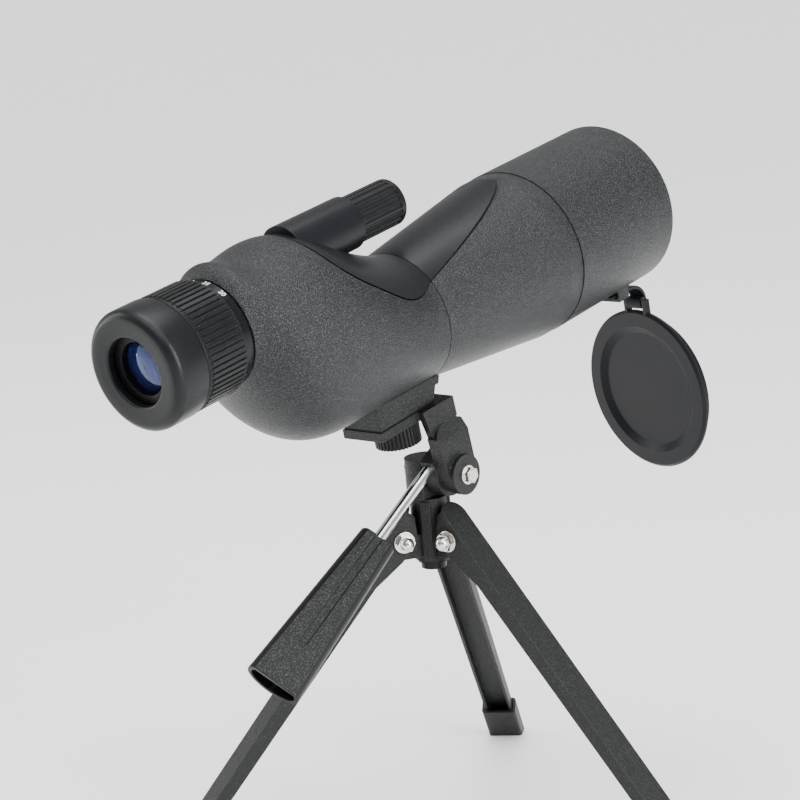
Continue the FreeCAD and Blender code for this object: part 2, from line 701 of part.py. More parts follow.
def leg_channel():
    solid = leg_outline(leg_width, 0)
    hollow = box((-20, -leg_width / 2 + leg_sheet, -leg_top - 1),
                 (leg_face - leg_sheet, leg_width / 2 - leg_sheet, leg_length))
    leg = solid.cut(hollow)
    top_centre = Vector(-20, 0, -leg_top + leg_width / 2)
    round_top = Part.makeCylinder(leg_width / 2, 40, top_centre, Vector(1, 0, 0))
    long_part = box((-20, -20, -leg_top + leg_width / 2), (20, 20, leg_length))
    leg = leg.common(round_top.fuse(long_part))
    bolt_hole = Part.makeCylinder(leg_bolt_radius + slide_gap, 40, Vector(0, -20, 0), Vector(0, 1, 0))
    return largest(leg.cut(bolt_hole))


def leg_tip():
    start = leg_length - tip_length
    shell = box((leg_face - flange_depth - tip_wall, -leg_width / 2 - tip_wall, start),
                (leg_face + tip_wall, leg_width / 2 + tip_wall, leg_length + 20))
    edges = [e for e in shell.Edges if abs(e.tangentAt(0).z) > 0.9]
    shell = shell.makeFillet(1.6, edges)
    return shell.cut(leg_outline(leg_width, 0))


def make_tripod():
    hub = upright(hub_radius, -hub_base, -post_foot)
    bolt_drop = -tilt_over_bolts
    for azimuth in leg_azimuths.values():
        eye = Part.makeCylinder(hub_lug_radius, hub_lug_width,
                                Vector(bolt_circle, -hub_lug_width / 2, tilt_height + bolt_drop),
                                Vector(0, 1, 0))
        arm = box((0, -hub_lug_width / 2, tilt_height - hub_base + 2.0),
                  (bolt_circle, hub_lug_width / 2, tilt_height + bolt_drop + 1.5))
        corner = box((bolt_circle, -20, 0), (40, 20, tilt_height - hub_base + 2))
        lug = eye.fuse(arm).cut(corner)
        hole = Part.makeCylinder(leg_bolt_radius + slide_gap, 40,
                                 Vector(bolt_circle, -20, tilt_height + bolt_drop), Vector(0, 1, 0))
        lug = lug.cut(hole)
        lug.rotate(Vector(0, 0, 0), Vector(0, 0, 1), azimuth)
        hub = hub.fuse(lug)
        rib = box((hub_radius - 2, -2.0, tilt_height - hub_base + 1), (hub_radius + 1.2, 2.0,
                                                                      tilt_height - post_foot - 1))
        rib.rotate(Vector(0, 0, 0), Vector(0, 0, 1), azimuth + 60)
        hub = hub.fuse(rib)
    hub = hub.cut(upright(3.0, -hub_base - 1, -post_foot + 1))
    parts["hub"] = largest(hub.removeSplitter())
    bolts = []
    nuts = []
    washers = []
    for name, azimuth in leg_azimuths.items():
        leg = on_leg(leg_channel(), azimuth)
        floor = box((-400, -400, -100), (400, 400, 0))
        parts["leg_" + name] = leg
        parts["tip_" + name] = largest(on_leg(leg_tip(), azimuth).cut(floor))
        side = -1.0 if name == "right" else 1.0
        bolt, nut, washer = leg_fixing(side)
        for piece, group in ((bolt, bolts), (nut, nuts), (washer, washers)):
            piece.rotate(Vector(0, 0, 0), Vector(0, 0, 1), azimuth)
            group.append(piece)
    parts["leg_bolts"] = Part.makeCompound(bolts)
    parts["leg_nuts"] = Part.makeCompound(nuts)
    parts["leg_washers"] = Part.makeCompound(washers)


def leg_fixing(side):
    """Bolt, dome nut and washer of one leg joint, with the nut on the given side."""
    half = leg_width / 2 + 0.1
    direction = Vector(0, side, 0)
    centre = Vector(bolt_circle, 0, tilt_height - tilt_over_bolts)
    start = centre - direction * (half + 2.4)
    bolt = Part.makeCylinder(leg_bolt_radius, 2 * half + 4.9, start + direction * 2.0, direction)
    bolt = bolt.fuse(Part.makeCylinder(3.6, 2.4, start, direction))
    washer = Part.makeCylinder(4.4, 0.8, centre + direction * half, direction)
    washer = washer.cut(Part.makeCylinder(leg_bolt_radius, 5, centre + direction * (half - 1), direction))
    base = centre + direction * (half + 0.8)
    nut = hexagon(nut_size / 2 + 0.5, 2.6)
    nut.rotate(Vector(0, 0, 0), Vector(1, 0, 0), -90 * side)
    nut.translate(base)
    dome = Part.makeSphere(2.9, base + direction * 2.6)
    nut = nut.fuse(dome.cut(Part.makeCylinder(8, 10, base + direction * 1.0, direction * -1)))
    nut = nut.cut(Part.makeCylinder(leg_bolt_radius, 4.8, base - direction * 1.0, direction))
    return bolt, largest(nut), washer


# Cap on its strap

def cap_disc():
    """Cap with its outer face towards -Y, centred on the origin."""
    plug = shade_radius - shade_wall - slide_gap
    rim_back = cap_rim - cap_recess
    plug_end = rim_back + cap_plug
    profile = [(0, 0), (0, cap_recess_floor), (-cap_recess, cap_recess_radius),
               (-cap_recess, cap_radius - 1.2), (-cap_recess + 1.2, cap_radius),
               (rim_back, cap_radius), (rim_back, plug), (plug_end, plug),
               (plug_end, plug - cap_plug_wall), (cap_face, plug - cap_plug_wall), (cap_face, 0)]
    points = [Vector(0, y, radius) for y, radius in profile]
    face = Part.Face(Part.makePolygon(points + [points[0]]))
    return face.revolve(Vector(0, 0, 0), Vector(0, 1, 0), 360)


def front_centre():
    pitch = math.radians(scope_pitch)
    y = front_reach * math.cos(pitch) - barrel_height * math.sin(pitch)
    z = front_reach * math.sin(pitch) + barrel_height * math.cos(pitch)
    return Vector(0, y + tilt_ahead, z + tilt_height)


def place_cap(shape):
    placed = shape.copy()
    placed.rotate(Vector(0, 0, 0), Vector(1, 0, 0), cap_pitch)
    placed.rotate(Vector(0, 0, 0), Vector(0, 0, 1), cap_yaw)
    placed.translate(front_centre() + Vector(*cap_centre))
    return placed


def make_cap():
    cap = cap_disc()
    inner_x = strap_width / 2 + prong_gap
    outer_x = inner_x + prong_width
    rim = Part.makeCylinder(cap_radius - 1.0, 40, Vector(0, -20, 0), Vector(0, 1, 0))
    for side in (-1, 1):
        low = min(side * inner_x, side * outer_x)
        prong = box((low, -1.6, cap_radius - 3.0), (low + prong_width, 1.6, cap_radius + pin_reach + 1.8))
        cap = cap.fuse(prong.cut(rim))
    pin = Part.makeCylinder(pin_radius, 2 * outer_x, Vector(-outer_x, 0, cap_radius + pin_reach),
                            Vector(1, 0, 0))
    parts["objective_cap"] = largest(place_cap(cap.fuse(pin)).removeSplitter())


def cap_pin_centre():
    pitch = math.radians(cap_pitch)
    yaw = math.radians(cap_yaw)
    reach = cap_radius + pin_reach
    across = reach * math.sin(pitch) * math.sin(yaw)
    return front_centre() + Vector(*cap_centre) + Vector(across, -reach * math.sin(pitch) * math.cos(yaw),
                                                         reach * math.cos(pitch))


def strap_solid():
    """Band through the lug, bending down to the eye that holds the cap's pin, in level axes."""
    low = barrel_height - shade_radius - lug_drop + 1.8 + part_gap
    start = on_tilt_point(along(13.0), low + strap_thickness / 2)
    mouth = on_tilt_point(along(-1.0), low + strap_thickness / 2)
    eye = cap_pin_centre()
    bend = (mouth[0] + 0.5 * (eye.y - mouth[0]), mouth[1] - 0.6)
    strap = band([start, mouth, bend, (eye.y, eye.z)], strap_thickness, strap_width)
    base = Vector(-strap_width / 2, eye.y, eye.z)
    ring = Part.makeCylinder(eye_radius, strap_width, base, Vector(1, 0, 0))
    hole = Part.makeCylinder(pin_radius + 0.9, strap_width, base, Vector(1, 0, 0))
    strap = strap.fuse(ring).cut(hole)
    strap.translate(Vector(strap_side(), 0, 0))
    return largest(strap.removeSplitter())


def strap_side():
    """How far the strap and its lug stand to the right of the barrel's middle."""
    return cap_pin_centre().x


def on_tilt_point(y, z):
    pitch = math.radians(scope_pitch)
    return (y * math.cos(pitch) - z * math.sin(pitch) + tilt_ahead,
            y * math.sin(pitch) + z * math.cos(pitch) + tilt_height)


def band(line, thickness, width):
    """Flat band of constant thickness along a side-view line, with mitred corners."""
    left = []
    right = []
    for index, point in enumerate(line):
        before = line[max(index - 1, 0)]
        after = line[min(index + 1, len(line) - 1)]
        dy = after[0] - before[0]
        dz = after[1] - before[1]
        size = math.hypot(dy, dz)
        ny = -dz / size * thickness / 2
        nz = dy / size * thickness / 2
        left.append((-width / 2, point[0] + ny, point[1] + nz))
        right.append((-width / 2, point[0] - ny, point[1] - nz))
    return plate_of(left + right[::-1], width, Vector(1, 0, 0))


def build():
    inner, region, wide_region = make_housing()
    make_barrel(region, wide_region)
    make_objective()
    make_sunshade()
    make_focus()
    make_prisms(inner)
    make_eyepiece()
    make_foot()
    make_platform()
    make_camera_screw()
    make_tilt_bolt()
    make_handle()
    for name in list(parts):
        parts[name] = on_tilt(parts[name])
    parts["cap_strap"] = strap_solid()
    make_cap()
    make_post()
    make_tripod()


build()
os.makedirs("parts", exist_ok=True)
for name, shape in parts.items():
    shape.exportStep("parts/" + name + ".step")
print(len(parts), "nodes")
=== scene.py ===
import json
import math

import bpy
from mathutils import Matrix, Quaternion, Vector


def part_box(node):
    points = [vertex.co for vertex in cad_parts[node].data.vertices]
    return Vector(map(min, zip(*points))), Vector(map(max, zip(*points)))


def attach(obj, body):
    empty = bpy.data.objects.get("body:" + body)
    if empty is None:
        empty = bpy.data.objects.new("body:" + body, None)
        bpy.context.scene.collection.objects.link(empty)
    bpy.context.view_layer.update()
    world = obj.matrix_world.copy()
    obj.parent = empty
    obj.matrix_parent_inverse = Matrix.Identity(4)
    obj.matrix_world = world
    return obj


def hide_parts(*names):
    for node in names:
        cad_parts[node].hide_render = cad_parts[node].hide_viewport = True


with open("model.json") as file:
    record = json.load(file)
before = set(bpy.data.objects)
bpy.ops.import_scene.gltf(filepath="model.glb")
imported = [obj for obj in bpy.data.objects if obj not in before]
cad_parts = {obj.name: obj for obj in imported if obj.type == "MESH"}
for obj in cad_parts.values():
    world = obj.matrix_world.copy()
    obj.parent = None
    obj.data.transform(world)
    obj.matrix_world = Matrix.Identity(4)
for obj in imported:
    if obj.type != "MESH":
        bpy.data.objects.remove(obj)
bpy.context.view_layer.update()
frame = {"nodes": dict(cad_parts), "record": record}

# Spotting scope on a table tripod: finishes of every piece, and the pieces that need softer or finer
# shapes than the frame's. Lengths are in metres; MM turns millimetres into metres.

MM = 0.001
record = frame["record"]
body_of_node = {node: body for body, nodes in record["behaviour"]["bodies"].items() for node in nodes}
slot_of_node = {part["node"]: part["material_slot"] for part in record["subparts"]}
joints = {joint["name"]: joint for joint in record["behaviour"]["joints"]}

# Eyecup, as distances behind the front of the zoom ring and radii
EYECUP_FRONT = 18.9 * MM
EYECUP_RADIUS = 22.9 * MM
EYECUP_BACK = 35.2 * MM
EYE_OPENING = 13.0 * MM
EYECUP_BORE = 17.6 * MM
EYECUP_CORNER = 3.6 * MM
EYECUP_LIP = 0.9 * MM
BEAD_RADIUS = 0.5 * MM
FACE_DISH = 0.5 * MM
MOUTH_DEPTH = 3.2 * MM
MOUTH_STEP = 1.4 * MM
# Scale collar and its print
COLLAR_RADIUS = 20.7 * MM
COLLAR_MIDDLE = 2.55 * MM
ZOOM_NUMBERS = (60, 50, 40, 30, 25, 20)
NUMBER_STEP = math.radians(22)
FIRST_NUMBER = math.radians(-74)
NUMBER_HEIGHT = 2.9 * MM
NUMBER_SHIFT = -0.25 * MM
INDEX_HEIGHT = 1.5 * MM
INDEX_SHIFT = -2.65 * MM
PRINT_DEPTH = 0.02 * MM
PRINT_LIFT = 0.01 * MM
# Floor
FLOOR_SIZE = 80.0
# Strap
STRAP_THICKNESS = 1.6 * MM
STRAP_EYE = 2.0 * MM
STRAP_DROP = 3.1 * MM           # from the top of the frame's strap to the line of this one
STRAP_REACH = 7.0 * MM          # straight pull beyond the lug before the bend
STRAP_LANDING = 6.0 * MM        # straight pull above the cap's pin
BEND_STEPS = 8
EYE_STEPS = 10
EYE_STEP = math.radians(30)
# Finishes
DUST_COLOUR = (0.12, 0.12, 0.12)


# Camera, lights and floor

def place_camera():
    data = bpy.data.cameras.new("view")
    camera = bpy.data.objects.new("view", data)
    bpy.context.collection.objects.link(camera)
    data.lens = 99.0
    data.sensor_width = 36.0
    camera.location = (0.5730, -0.6493, 0.3919)
    direction = Vector((-0.6528, 0.7260, -0.2164))
    roll = Quaternion((0, 0, 1), math.radians(-5.0))
    camera.rotation_mode = "QUATERNION"
    camera.rotation_quaternion = direction.to_track_quat("-Z", "Y") @ roll
    bpy.context.scene.camera = camera


def soft_light(name, place, aim, size, power):
    data = bpy.data.lights.new(name, "AREA")
    data.shape = "RECTANGLE"
    data.size, data.size_y = size
    data.energy = power
    lamp = bpy.data.objects.new(name, data)
    bpy.context.collection.objects.link(lamp)
    lamp.location = place
    lamp.rotation_mode = "QUATERNION"
    lamp.rotation_quaternion = (Vector(aim) - Vector(place)).to_track_quat("-Z", "Y")


def light_studio():
    middle = (0, 0.02, 0.2)
    soft_light("right_softbox", (1.15, -0.05, 0.55), middle, (0.28, 0.9), 20)
    soft_light("left_edge", (-1.1, -0.6, 0.5), middle, (0.3, 1.2), 9)
    soft_light("top_sheet", (-0.1, 0.2, 1.4), middle, (0.7, 0.7), 7)
    data = bpy.data.lights.new("room_light", "SUN")
    data.energy = 4.2
    data.angle = math.radians(70)
    lamp = bpy.data.objects.new("room_light", data)
    bpy.context.collection.objects.link(lamp)
    lamp.rotation_euler = (math.radians(12), math.radians(10), 0)
    world = bpy.data.worlds.new("studio")
    world.use_nodes = True
    sky = world.node_tree.nodes["Background"]
    sky.inputs["Color"].default_value = (1.0, 1.0, 1.0, 1)
    sky.inputs["Strength"].default_value = 0.55
    bpy.context.scene.world = world


def lay_floor():
    bpy.ops.mesh.primitive_plane_add(size=FLOOR_SIZE)
    floor = bpy.context.object
    floor.name = "floor"
    pale = bpy.data.materials.new("pale_floor")
    pale.use_nodes = True
    shader = pale.node_tree.nodes["Principled BSDF"]
    shader.inputs["Base Color"].default_value = (0.9, 0.9, 0.9, 1)
    shader.inputs["Roughness"].default_value = 0.85
    floor.data.materials.append(pale)


# Shader building

def add(tree, kind, inputs=None, **settings):
    """Adds a shader node, sets its properties, and fills or links its inputs."""
    made = tree.nodes.new("ShaderNode" + kind)
    for key, value in settings.items():
        setattr(made, key, value)
    for key, value in (inputs or {}).items():
        if isinstance(value, bpy.types.NodeSocket):
            tree.links.new(value, made.inputs[key])
        else:
            made.inputs[key].default_value = value
    return made


def new_group(name, numbers, outputs):
    group = bpy.data.node_groups.new(name, "ShaderNodeTree")
    for label, value in numbers:
        socket = group.interface.new_socket(label, in_out="INPUT", socket_type="NodeSocketFloat")
        socket.default_value = value
    for label, kind in outputs:
        group.interface.new_socket(label, in_out="OUTPUT", socket_type="NodeSocket" + kind)
    return group, group.nodes.new("NodeGroupInput"), group.nodes.new("NodeGroupOutput")


def moulded_grain_group():
    """Fine pebbled grain: its height, and a mask of grains that the finishes paint paler as painted glints.
    """
    group, given, result = new_group("moulded_grain", [("Scale", 1500.0), ("Flecks", 0.5)],
                                     [("Height", "Float"), ("Fleck", "Float")])
    place = add(group, "TexCoord")
    scale = given.outputs["Scale"]
    pebbles = add(group, "TexVoronoi", {"Vector": place.outputs["Object"], "Scale": scale},
                  feature="SMOOTH_F1")
    noise = add(group, "TexNoise", {"Vector": place.outputs["Object"], "Scale": scale, "Detail": 2.0})
    height = add(group, "Math", {0: noise.outputs["Fac"], 1: pebbles.outputs["Distance"]},
                 operation="SUBTRACT")
    level = add(group, "Math", {0: 0.72, 1: given.outputs["Flecks"]}, operation="SUBTRACT")
    top = add(group, "Math", {0: level.outputs[0], 1: 0.2}, operation="ADD")
    # Noise that picks the grains painted paler: painted glints.
    flecks = add(group, "TexNoise", {"Vector": place.outputs["Object"], "Scale": scale, "Detail": 1.0,
                                     "Roughness": 0.4, "Distortion": 0.3})
    mask = add(group, "MapRange", {"Value": flecks.outputs["Fac"], "From Min": level.outputs[0],
                                   "From Max": top.outputs[0]})
    group.links.new(height.outputs[0], result.inputs["Height"])
    group.links.new(mask.outputs["Result"], result.inputs["Fleck"])
    return group


def handling_group():
    """Broad patches of handling polish, and light dust that settles on faces that look up."""
    group, given, result = new_group("handling", [("Scale", 45.0)], [("Polish", "Float"), ("Dust", "Float")])
    place = add(group, "TexCoord")
    patches = add(group, "TexNoise", {"Vector": place.outputs["Object"], "Scale": given.outputs["Scale"],
                                      "Detail": 4.0})
    polish = add(group, "MapRange", {"Value": patches.outputs["Fac"], "From Min": 0.35, "From Max": 0.7})
    split = add(group, "SeparateXYZ", {"Vector": add(group, "NewGeometry").outputs["Normal"]})
    upward = add(group, "MapRange", {"Value": split.outputs["Z"], "From Min": 0.3, "From Max": 1.0})
    specks = add(group, "TexNoise", {"Vector": place.outputs["Object"], "Scale": 900.0, "Detail": 3.0})
    settled = add(group, "MapRange", {"Value": specks.outputs["Fac"], "From Min": 0.5, "From Max": 0.75})
    dust = add(group, "Math", {0: upward.outputs["Result"], 1: settled.outputs["Result"]},
               operation="MULTIPLY")
    group.links.new(polish.outputs["Result"], result.inputs["Polish"])
    group.links.new(dust.outputs[0], result.inputs["Dust"])
    return group


def edge_group():
    """Rounded shading of sharp edges, and a mask of the edges, which the finishes paint paler as partly wear
    and partly painted highlight.
    """
    group, given, result = new_group("worn_and_highlit_edge", [("Radius", 0.0004)],
                                     [("Normal", "Vector"), ("Edge", "Float")])
    rounded = add(group, "Bevel", {"Radius": given.outputs["Radius"]}, samples=4)
    facing = add(group, "NewGeometry")
    match = add(group, "VectorMath", {0: rounded.outputs["Normal"], 1: facing.outputs["Normal"]},
                operation="DOT_PRODUCT")
    edge = add(group, "MapRange", {"Value": match.outputs["Value"], "From Min": 0.985, "From Max": 0.8})
    group.links.new(rounded.outputs["Normal"], result.inputs["Normal"])
    group.links.new(edge.outputs["Result"], result.inputs["Edge"])
    return group


def group_node(tree, group, inputs=None):
    made = tree.nodes.new("ShaderNodeGroup")
    made.node_tree = group
    for key, value in (inputs or {}).items():
        made.inputs[key].default_value = value
    return made


def blend_colours(tree, factor, first, second):
    mix = add(tree, "Mix", data_type="RGBA")
    if isinstance(factor, bpy.types.NodeSocket):
        tree.links.new(factor, mix.inputs[0])
    else:
        mix.inputs[0].default_value = factor
    for index, colour in ((6, first), (7, second)):
        if isinstance(colour, bpy.types.NodeSocket):
            tree.links.new(colour, mix.inputs[index])
        else:
            mix.inputs[index].default_value = (*colour, 1)
    return mix.outputs[2]


def scaled(tree, socket, factor):
    return add(tree, "Math", {0: socket, 1: factor}, operation="MULTIPLY").outputs[0]


def moulded_finish(name, colour, glint_and_wear_colour, roughness, grain=1500.0, depth=0.15, flecks=0.25, edge=0.3, dust=0.05,
                   radius=0.0003, shine=0.2):
    """Rubber or plastic with moulded grain, paler flecks that are painted glints, edges painted paler as
    partly wear and partly painted highlight, and a little dust.
    """
    material = bpy.data.materials.new(name)
    material.use_nodes = True
    tree = material.node_tree
    shader = tree.nodes["Principled BSDF"]
    texture = group_node(tree, GRAIN, {"Scale": grain, "Flecks": flecks})
    wear = group_node(tree, HANDLING)
    rim = group_node(tree, EDGES, {"Radius": radius})
    # Paler flecks: painted glints on the grain.
    paint = blend_colours(tree, texture.outputs["Fleck"], colour, glint_and_wear_colour)
    # Paler edges: partly wear, partly painted highlight.
    paint = blend_colours(tree, scaled(tree, rim.outputs["Edge"], edge), paint, glint_and_wear_colour)
    paint = blend_colours(tree, scaled(tree, wear.outputs["Dust"], dust), paint, DUST_COLOUR)
    tree.links.new(paint, shader.inputs["Base Color"])
    gloss = add(tree, "MapRange", {"Value": wear.outputs["Polish"], "To Min": roughness + 0.02,
                                   "To Max": roughness - 0.02})
    glint = add(tree, "Math", {0: gloss.outputs["Result"], 1: scaled(tree, texture.outputs["Fleck"], 0.12)},
                operation="SUBTRACT")
    tree.links.new(glint.outputs[0], shader.inputs["Roughness"])
    bump = add(tree, "Bump", {"Height": texture.outputs["Height"], "Strength": depth, "Distance": 0.0003,
                              "Normal": rim.outputs["Normal"]})
    tree.links.new(bump.outputs["Normal"], shader.inputs["Normal"])
    shader.inputs["Specular IOR Level"].default_value = shine
    return material


def crackle_finish(name, colour=(0.003, 0.0034, 0.0036), crest_glint_and_wear_colour=(0.06, 0.063, 0.062), scale=1100.0):
    """Wrinkle paint: rounded islands with fine valleys between them, painted glints on some island tops, and
    paler along edges as partly wear and partly painted highlight.
    """
    material = bpy.data.materials.new(name)
    material.use_nodes = True
    tree = material.node_tree
    shader = tree.nodes["Principled BSDF"]
    place = add(tree, "TexCoord")
    warp = add(tree, "TexNoise", {"Vector": place.outputs["Object"], "Scale": scale / 2, "Detail": 2.0})
    shifted = add(tree, "VectorMath", {0: warp.outputs["Color"], 1: (0.0009, 0.0009, 0.0009)},
                  operation="MULTIPLY")
    moved = add(tree, "VectorMath", {0: place.outputs["Object"], 1: shifted.outputs["Vector"]},
                operation="ADD")
    cells = add(tree, "TexVoronoi", {"Vector": moved.outputs["Vector"], "Scale": scale},
                feature="DISTANCE_TO_EDGE")
    islands = add(tree, "MapRange", {"Value": cells.outputs["Distance"], "From Max": 0.28})
    # Painted glints: noise picks island tops that are painted paler.
    glint = add(tree, "TexNoise", {"Vector": moved.outputs["Vector"], "Scale": scale * 1.3, "Detail": 1.0})
    lit = add(tree, "MapRange", {"Value": glint.outputs["Fac"], "From Min": 0.54, "From Max": 0.7})
    painted_crest_glints = add(tree, "Math", {0: islands.outputs["Result"], 1: lit.outputs["Result"]}, operation="MULTIPLY")
    rim = group_node(tree, EDGES, {"Radius": 0.0005})
    wear = group_node(tree, HANDLING)
    paint = blend_colours(tree, scaled(tree, painted_crest_glints.outputs[0], 0.55), colour, crest_glint_and_wear_colour)
    # Paler edges: partly wear, partly painted highlight.
    paint = blend_colours(tree, scaled(tree, rim.outputs["Edge"], 0.5), paint, crest_glint_and_wear_colour)
    paint = blend_colours(tree, scaled(tree, wear.outputs["Dust"], 0.06), paint, DUST_COLOUR)
    tree.links.new(paint, shader.inputs["Base Color"])
    gloss = add(tree, "MapRange", {"Value": islands.outputs["Result"], "To Min": 0.6, "To Max": 0.33})
    tree.links.new(gloss.outputs["Result"], shader.inputs["Roughness"])
    shader.inputs["Specular IOR Level"].default_value = 0.3
    bump = add(tree, "Bump", {"Height": islands.outputs["Result"], "Strength": 0.5, "Distance": 0.0002,
                              "Normal": rim.outputs["Normal"]})
    tree.links.new(bump.outputs["Normal"], shader.inputs["Normal"])
    return material


def bare_metal(name, colour, roughness, scratch=400.0):
    """Plated or machined metal with faint scratches and handling marks."""
    material = bpy.data.materials.new(name)
    material.use_nodes = True
    tree = material.node_tree
    shader = tree.nodes["Principled BSDF"]
    place = add(tree, "TexCoord")
    marks = add(tree, "TexNoise", {"Vector": place.outputs["Object"], "Scale": scratch, "Detail": 5.0,
                                   "Roughness": 0.7})
    rim = group_node(tree, EDGES, {"Radius": 0.0003})
    stain = add(tree, "MapRange", {"Value": marks.outputs["Fac"], "From Min": 0.55, "From Max": 0.8,
                                   "To Max": 0.35})
    dull = tuple(0.6 * part for part in colour)
    tree.links.new(blend_colours(tree, stain.outputs["Result"], colour, dull), shader.inputs["Base Color"])
    gloss = add(tree, "MapRange", {"Value": marks.outputs["Fac"], "From Min": 0.3, "From Max": 0.8,
                                   "To Min": roughness, "To Max": roughness + 0.18})
    tree.links.new(gloss.outputs["Result"], shader.inputs["Roughness"])
    bump = add(tree, "Bump", {"Height": marks.outputs["Fac"], "Strength": 0.04, "Distance": 0.0002,
                              "Normal": rim.outputs["Normal"]})
    tree.links.new(bump.outputs["Normal"], shader.inputs["Normal"])
    shader.inputs["Metallic"].default_value = 1.0
    return material


def coated_glass(name, tint):
    """Polished glass with a coloured coating and a trace of smears."""
    material = bpy.data.materials.new(name)
    material.use_nodes = True
    tree = material.node_tree
    shader = tree.nodes["Principled BSDF"]
    wear = group_node(tree, HANDLING, {"Scale": 160.0})
    gloss = add(tree, "MapRange", {"Value": wear.outputs["Polish"], "To Min": 0.02, "To Max": 0.06})
    tree.links.new(gloss.outputs["Result"], shader.inputs["Roughness"])
    shader.inputs["Base Color"].default_value = (*tint, 1)
    shader.inputs["Transmission Weight"].default_value = 0.9
    shader.inputs["IOR"].default_value = 1.52
    shader.inputs["Specular Tint"].default_value = (0.35, 0.55, 1.0, 1)
    shader.inputs["Coat Weight"].default_value = 0.6
    shader.inputs["Coat Tint"].default_value = (0.5, 0.6, 1.0, 1)
    return material


def make_finishes():
    """One finish for each material slot of the record."""
    return {
        # The second colour of each moulded finish is painted onto its grain as glints and onto its edges as
        # partly wear, partly painted highlight.
        "armour_rubber": moulded_finish("grained_armour", (0.0032, 0.0040, 0.0046), (0.054, 0.060, 0.063),
                                        0.38, grain=2300.0, depth=0.9, flecks=0.195, shine=0.3),
        "panel_plastic": moulded_finish("smooth_panel", (0.0045, 0.005, 0.0068), (0.012, 0.013, 0.016), 0.34,
                                        grain=2600.0, depth=0.06, flecks=0.16),
        "knob_rubber": moulded_finish("knob_rubber", (0.004, 0.0046, 0.0052), (0.03, 0.033, 0.035), 0.34,
                                      grain=2400.0, depth=0.08, flecks=0.14, edge=0.5),
        "ring_rubber": moulded_finish("ribbed_ring", (0.0035, 0.0038, 0.0044), (0.05, 0.053, 0.056), 0.32,
                                      grain=2400.0, depth=0.06, flecks=0.1, edge=0.7),
        "scale_plastic": moulded_finish("scale_collar", (0.0035, 0.0038, 0.0044), (0.02, 0.022, 0.024), 0.22,
                                        grain=2600.0, depth=0.03, flecks=0.1),
        "eyecup_rubber": moulded_finish("eyecup_rubber", (0.004, 0.0046, 0.0052), (0.014, 0.016, 0.018), 0.34,
                                        grain=2400.0, depth=0.14, flecks=0.16),
        "inner_plastic": moulded_finish("blackened_inside", (0.002, 0.002, 0.0024), (0.008, 0.008, 0.009),
                                        0.5),
        "tube_metal": moulded_finish("anodised_tube", (0.0035, 0.0035, 0.004), (0.015, 0.015, 0.017), 0.36,
                                     grain=3000.0, depth=0.04, flecks=0.1),
        "lens_glass": coated_glass("coated_lens", (0.10, 0.14, 0.34)),
        "prism_glass": coated_glass("prism_glass", (0.9, 0.95, 0.95)),
        "crackle_paint": crackle_finish("wrinkle_paint"),
        "leg_paint": crackle_finish("leg_paint", colour=(0.0045, 0.0052, 0.0055), scale=1250.0),
        "foot_plastic": moulded_finish("foot_plastic", (0.006, 0.0068, 0.0072), (0.045, 0.048, 0.047), 0.46,
                                       grain=1900.0, depth=0.3, flecks=0.18, edge=0.45),
        "insert_brass": bare_metal("insert_brass", (0.7, 0.52, 0.24), 0.25),
        "pad_rubber": moulded_finish("pad_rubber", (0.003, 0.003, 0.0034), (0.01, 0.01, 0.011), 0.6),
        "wheel_plastic": moulded_finish("wheel_plastic", (0.0035, 0.0038, 0.0043), (0.03, 0.032, 0.034), 0.36,
                                        depth=0.08, flecks=0.1, edge=0.45),
        "screw_steel": bare_metal("screw_steel", (0.58, 0.58, 0.58), 0.28),
        "bolt_chrome": bare_metal("plated_bolts", (0.72, 0.69, 0.64), 0.12),
        "rod_chrome": bare_metal("polished_rod", (0.80, 0.81, 0.83), 0.05, scratch=250.0),
        "grip_plastic": moulded_finish("grip_plastic", (0.0035, 0.0038, 0.0044), (0.03, 0.032, 0.034), 0.3,
                                       grain=2000.0, depth=0.08, flecks=0.1, edge=0.55),
        "tip_rubber": moulded_finish("tip_rubber", (0.0035, 0.0035, 0.004), (0.015, 0.015, 0.016), 0.5),
        "cap_rubber": moulded_finish("cap_rubber", (0.003, 0.0034, 0.0048), (0.010, 0.011, 0.014), 0.38,
                                     grain=2600.0, depth=0.05, flecks=0.12),
    }


# Working on pieces

def only(piece):
    bpy.ops.object.select_all(action="DESELECT")
    piece.select_set(True)
    bpy.context.view_layer.objects.active = piece


def settle(piece, name, body, slot):
    """Puts a finished piece's place into its mesh, and gives it its body, slot and finish."""
    piece.name = name
    piece.data.name = name
    only(piece)
    bpy.ops.object.transform_apply(location=True, rotation=True, scale=True)
    piece.data.materials.clear()
    piece.data.materials.append(FINISHES[slot])
    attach(piece, body)
    return piece


def round_edges(piece, width, segments=2, angle=32.0, smooth=38.0):
    only(piece)
    bevel = piece.modifiers.new("edges", "BEVEL")
    bevel.width = width
    bevel.segments = segments
    bevel.limit_method = "ANGLE"
    bevel.angle_limit = math.radians(angle)
    bevel.use_clamp_overlap = True
    bpy.ops.object.modifier_apply(modifier=bevel.name)
    bpy.ops.object.shade_smooth_by_angle(angle=math.radians(smooth))
    flatten = piece.modifiers.new("flat_faces", "WEIGHTED_NORMAL")
    flatten.keep_sharp = True
    bpy.ops.object.modifier_apply(modifier=flatten.name)


